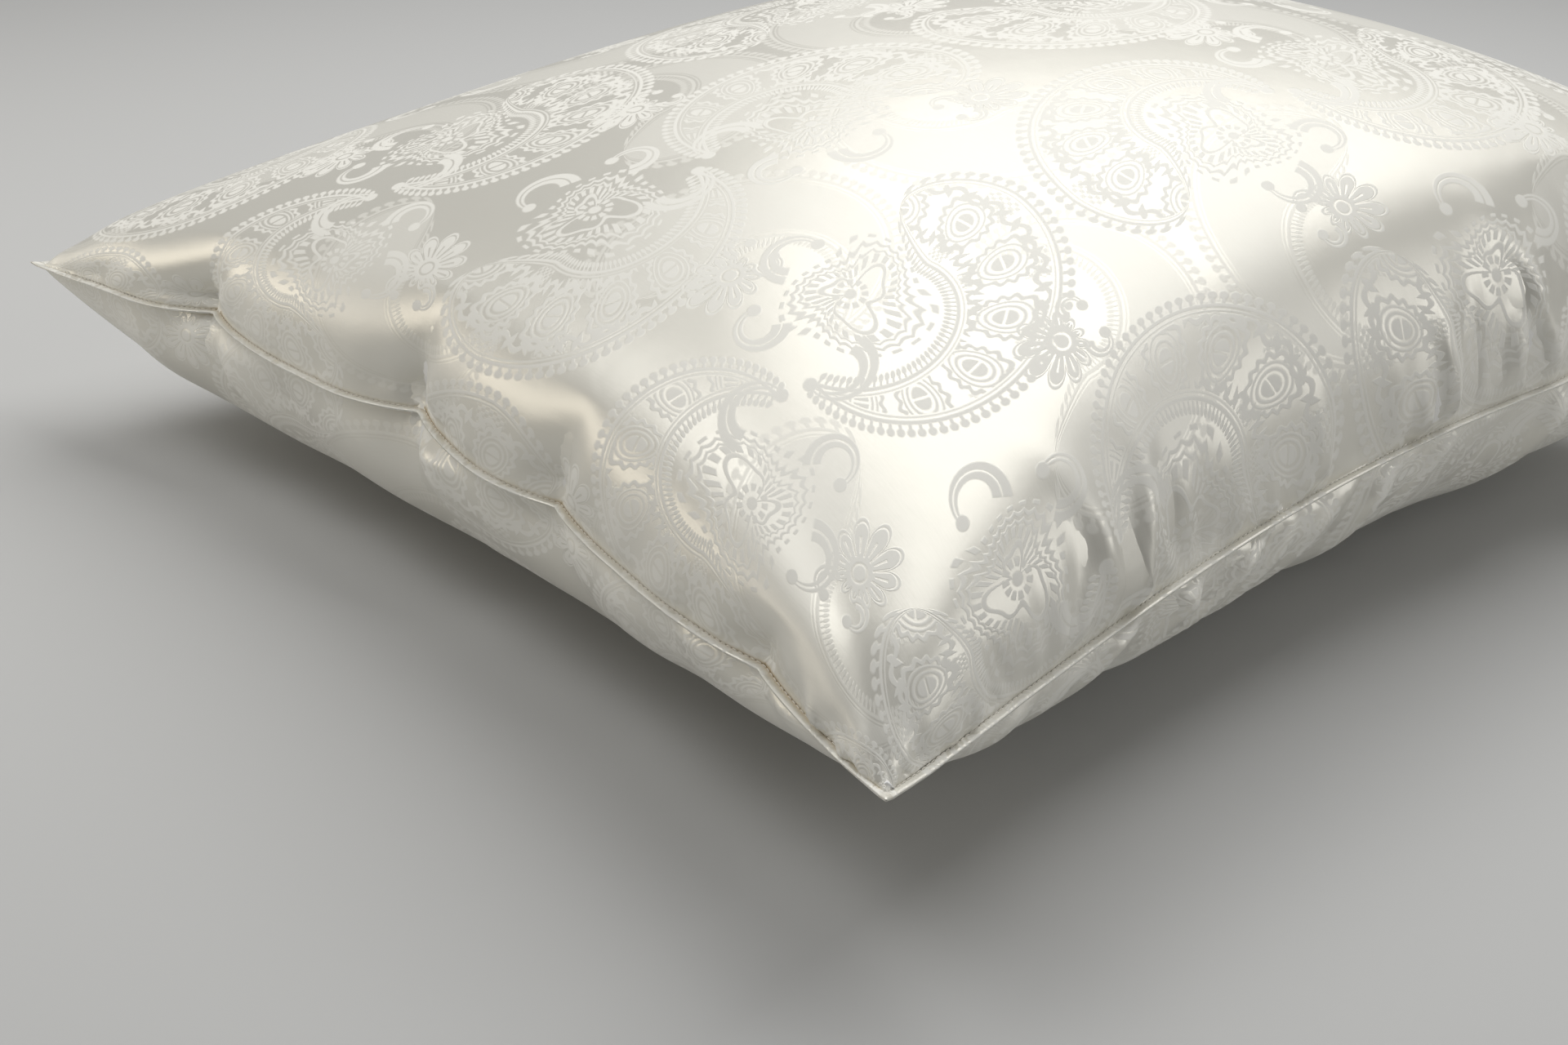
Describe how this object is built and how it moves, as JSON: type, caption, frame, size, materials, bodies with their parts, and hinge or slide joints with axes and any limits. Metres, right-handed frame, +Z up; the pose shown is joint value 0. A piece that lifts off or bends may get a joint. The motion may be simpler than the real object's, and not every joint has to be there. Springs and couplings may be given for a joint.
{
  "type": "square bed pillow",
  "caption": "Square plump down pillow with a paisley jacquard satin cover, a narrow topstitched flat edge and pointed corners.",
  "frame": {"origin": "middle of the underside, on the resting face", "axes": "+Z up out of the crown; -Y towards the side closed last; +X to the right of it"},
  "size_m": [0.7636, 0.7636, 0.2508],
  "materials": {
    "jacquard": "satin",
    "sewing_thread": "satin",
    "cambric": "matte",
    "down": "matte",
    "label_satin": "satin"
  },
  "bodies": {
    "root": {"top_panel": "jacquard", "bottom_panel": "jacquard", "front_closing_stitching": "sewing_thread", "right_topstitching": "sewing_thread", "back_topstitching": "sewing_thread", "left_topstitching": "sewing_thread", "joining_seam_thread": "sewing_thread", "ticking_top": "cambric", "ticking_bottom": "cambric", "ticking_seam_thread": "sewing_thread", "down_fill": "down", "care_label": "label_satin"}
  },
  "joints": []
}
